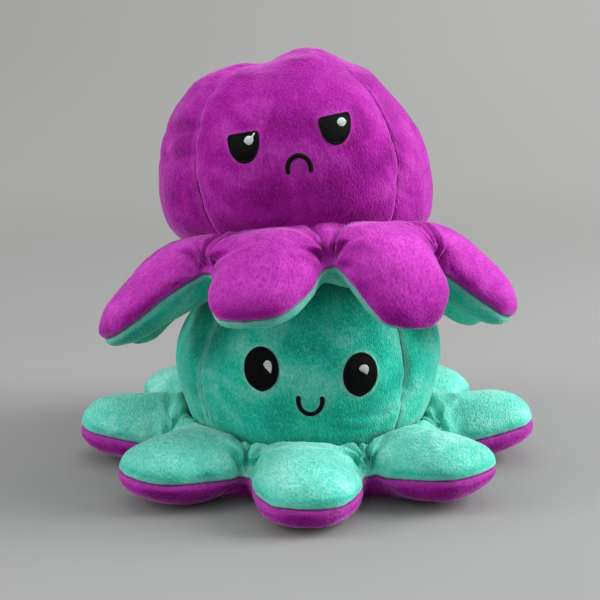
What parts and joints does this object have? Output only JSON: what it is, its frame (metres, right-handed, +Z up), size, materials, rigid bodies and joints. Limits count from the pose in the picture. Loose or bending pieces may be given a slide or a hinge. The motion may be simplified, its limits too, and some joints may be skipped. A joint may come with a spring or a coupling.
{
  "type": "plush octopus",
  "caption": "Two reversible plush octopuses stacked head in pocket, each a stuffed four-panel head on a skirt of springy legs, with stitched eyes and mouth.",
  "frame": {"origin": "centre of the box's foot, on the surface that the lower toy's skirt lies on", "axes": "+Z up, both faces look towards -Y, +X to the right as seen from the front"},
  "size_m": [0.2, 0.2, 0.1836],
  "materials": {
    "teal_plush": "short-pile plush with a soft sheen and brushed patches",
    "purple_plush": "short-pile plush with a soft sheen and brushed patches",
    "stuffing": "loose polyester fibre",
    "black_thread": "satin-stitched thread",
    "pale_thread": "satin-stitched thread"
  },
  "bodies": {
    "lower_body": {"lower_eye_highlight_left": "pale_thread", "lower_eye_highlight_right": "pale_thread", "lower_eye_left": "black_thread", "lower_eye_right": "black_thread", "lower_head_back_panel": "teal_plush", "lower_head_fill": "stuffing", "lower_head_front_panel": "teal_plush", "lower_head_left_panel": "teal_plush", "lower_head_right_panel": "teal_plush", "lower_mouth": "black_thread", "lower_pocket_liner": "purple_plush", "lower_skirt_top": "teal_plush", "lower_skirt_under": "purple_plush"},
    "lower_leg_1": {"lower_leg_1_top": "teal_plush", "lower_leg_1_under": "purple_plush"},
    "lower_leg_2": {"lower_leg_2_top": "teal_plush", "lower_leg_2_under": "purple_plush"},
    "lower_leg_3": {"lower_leg_3_top": "teal_plush", "lower_leg_3_under": "purple_plush"},
    "lower_leg_4": {"lower_leg_4_top": "teal_plush", "lower_leg_4_under": "purple_plush"},
    "lower_leg_5": {"lower_leg_5_top": "teal_plush", "lower_leg_5_under": "purple_plush"},
    "lower_leg_6": {"lower_leg_6_top": "teal_plush", "lower_leg_6_under": "purple_plush"},
    "lower_leg_7": {"lower_leg_7_top": "teal_plush", "lower_leg_7_under": "purple_plush"},
    "lower_leg_8": {"lower_leg_8_top": "teal_plush", "lower_leg_8_under": "purple_plush"},
    "upper_body": {"upper_eye_highlight_left": "pale_thread", "upper_eye_highlight_right": "pale_thread", "upper_eye_left": "black_thread", "upper_eye_right": "black_thread", "upper_head_back_panel": "purple_plush", "upper_head_fill": "stuffing", "upper_head_front_panel": "purple_plush", "upper_head_left_panel": "purple_plush", "upper_head_right_panel": "purple_plush", "upper_mouth": "black_thread", "upper_pocket_liner": "teal_plush", "upper_skirt_top": "purple_plush", "upper_skirt_under": "teal_plush"},
    "upper_leg_1": {"upper_leg_1_top": "purple_plush", "upper_leg_1_under": "teal_plush"},
    "upper_leg_2": {"upper_leg_2_top": "purple_plush", "upper_leg_2_under": "teal_plush"},
    "upper_leg_3": {"upper_leg_3_top": "purple_plush", "upper_leg_3_under": "teal_plush"},
    "upper_leg_4": {"upper_leg_4_top": "purple_plush", "upper_leg_4_under": "teal_plush"},
    "upper_leg_5": {"upper_leg_5_top": "purple_plush", "upper_leg_5_under": "teal_plush"},
    "upper_leg_6": {"upper_leg_6_top": "purple_plush", "upper_leg_6_under": "teal_plush"},
    "upper_leg_7": {"upper_leg_7_top": "purple_plush", "upper_leg_7_under": "teal_plush"},
    "upper_leg_8": {"upper_leg_8_top": "purple_plush", "upper_leg_8_under": "teal_plush"}
  },
  "joints": [
    {"name": "upper_lift", "type": "slide", "parent": "lower_body", "child": "upper_body", "axis": [0, 0, 1], "range_m": [0, 0.12]},
    {"name": "lower_leg_1_bend", "type": "hinge", "parent": "lower_body", "child": "lower_leg_1", "pos_m": [0, -0.064, 0.0139], "axis": [-1, 0, 0], "range_deg": [-10, 30], "stiffness_Nm_per_rad": 0.04},
    {"name": "lower_leg_2_bend", "type": "hinge", "parent": "lower_body", "child": "lower_leg_2", "pos_m": [0.04525, -0.04525, 0.0139], "axis": [-0.7071, -0.7071, 0], "range_deg": [-10, 30], "stiffness_Nm_per_rad": 0.04},
    {"name": "lower_leg_3_bend", "type": "hinge", "parent": "lower_body", "child": "lower_leg_3", "pos_m": [0.064, 0, 0.0139], "axis": [0, -1, 0], "range_deg": [-10, 30], "stiffness_Nm_per_rad": 0.04},
    {"name": "lower_leg_4_bend", "type": "hinge", "parent": "lower_body", "child": "lower_leg_4", "pos_m": [0.04525, 0.04525, 0.0139], "axis": [0.7071, -0.7071, 0], "range_deg": [-10, 30], "stiffness_Nm_per_rad": 0.04},
    {"name": "lower_leg_5_bend", "type": "hinge", "parent": "lower_body", "child": "lower_leg_5", "pos_m": [0, 0.064, 0.0139], "axis": [1, 0, 0], "range_deg": [-10, 30], "stiffness_Nm_per_rad": 0.04},
    {"name": "lower_leg_6_bend", "type": "hinge", "parent": "lower_body", "child": "lower_leg_6", "pos_m": [-0.04525, 0.04525, 0.0139], "axis": [0.7071, 0.7071, 0], "range_deg": [-10, 30], "stiffness_Nm_per_rad": 0.04},
    {"name": "lower_leg_7_bend", "type": "hinge", "parent": "lower_body", "child": "lower_leg_7", "pos_m": [-0.064, 0, 0.0139], "axis": [0, 1, 0], "range_deg": [-10, 30], "stiffness_Nm_per_rad": 0.04},
    {"name": "lower_leg_8_bend", "type": "hinge", "parent": "lower_body", "child": "lower_leg_8", "pos_m": [-0.04525, -0.04525, 0.0139], "axis": [-0.7071, 0.7071, 0], "range_deg": [-10, 30], "stiffness_Nm_per_rad": 0.04},
    {"name": "upper_leg_1_bend", "type": "hinge", "parent": "upper_body", "child": "upper_leg_1", "pos_m": [-0.01609, -0.06352, 0.10097], "axis": [-0.9604, 0.2469, -0.1289], "range_deg": [-15, 45], "stiffness_Nm_per_rad": 0.04},
    {"name": "upper_leg_2_bend", "type": "hinge", "parent": "upper_body", "child": "upper_leg_2", "pos_m": [0.03156, -0.0569, 0.10419], "axis": [-0.8657, -0.5006, 0.0053], "range_deg": [-15, 45], "stiffness_Nm_per_rad": 0.04},
    {"name": "upper_leg_3_bend", "type": "hinge", "parent": "upper_body", "child": "upper_leg_3", "pos_m": [0.06104, -0.01892, 0.10049], "axis": [-0.2638, -0.9549, 0.1364], "range_deg": [-15, 45], "stiffness_Nm_per_rad": 0.04},
    {"name": "upper_leg_4_bend", "type": "hinge", "parent": "upper_body", "child": "upper_leg_4", "pos_m": [0.05507, 0.02817, 0.09203], "axis": [0.4926, -0.8498, 0.1876], "range_deg": [-15, 45], "stiffness_Nm_per_rad": 0.04},
    {"name": "upper_leg_5_bend", "type": "hinge", "parent": "upper_body", "child": "upper_leg_5", "pos_m": [0.01715, 0.05679, 0.08378], "axis": [0.9604, -0.2469, 0.1289], "range_deg": [-15, 45], "stiffness_Nm_per_rad": 0.04},
    {"name": "upper_leg_6_bend", "type": "hinge", "parent": "upper_body", "child": "upper_leg_6", "pos_m": [-0.0305, 0.05018, 0.08055], "axis": [0.8657, 0.5006, -0.0053], "range_deg": [-15, 45], "stiffness_Nm_per_rad": 0.04},
    {"name": "upper_leg_7_bend", "type": "hinge", "parent": "upper_body", "child": "upper_leg_7", "pos_m": [-0.05998, 0.01219, 0.08425], "axis": [0.2638, 0.9549, -0.1364], "range_deg": [-15, 45], "stiffness_Nm_per_rad": 0.04},
    {"name": "upper_leg_8_bend", "type": "hinge", "parent": "upper_body", "child": "upper_leg_8", "pos_m": [-0.05401, -0.0349, 0.09271], "axis": [-0.4926, 0.8498, -0.1876], "range_deg": [-15, 45], "stiffness_Nm_per_rad": 0.04}
  ]
}
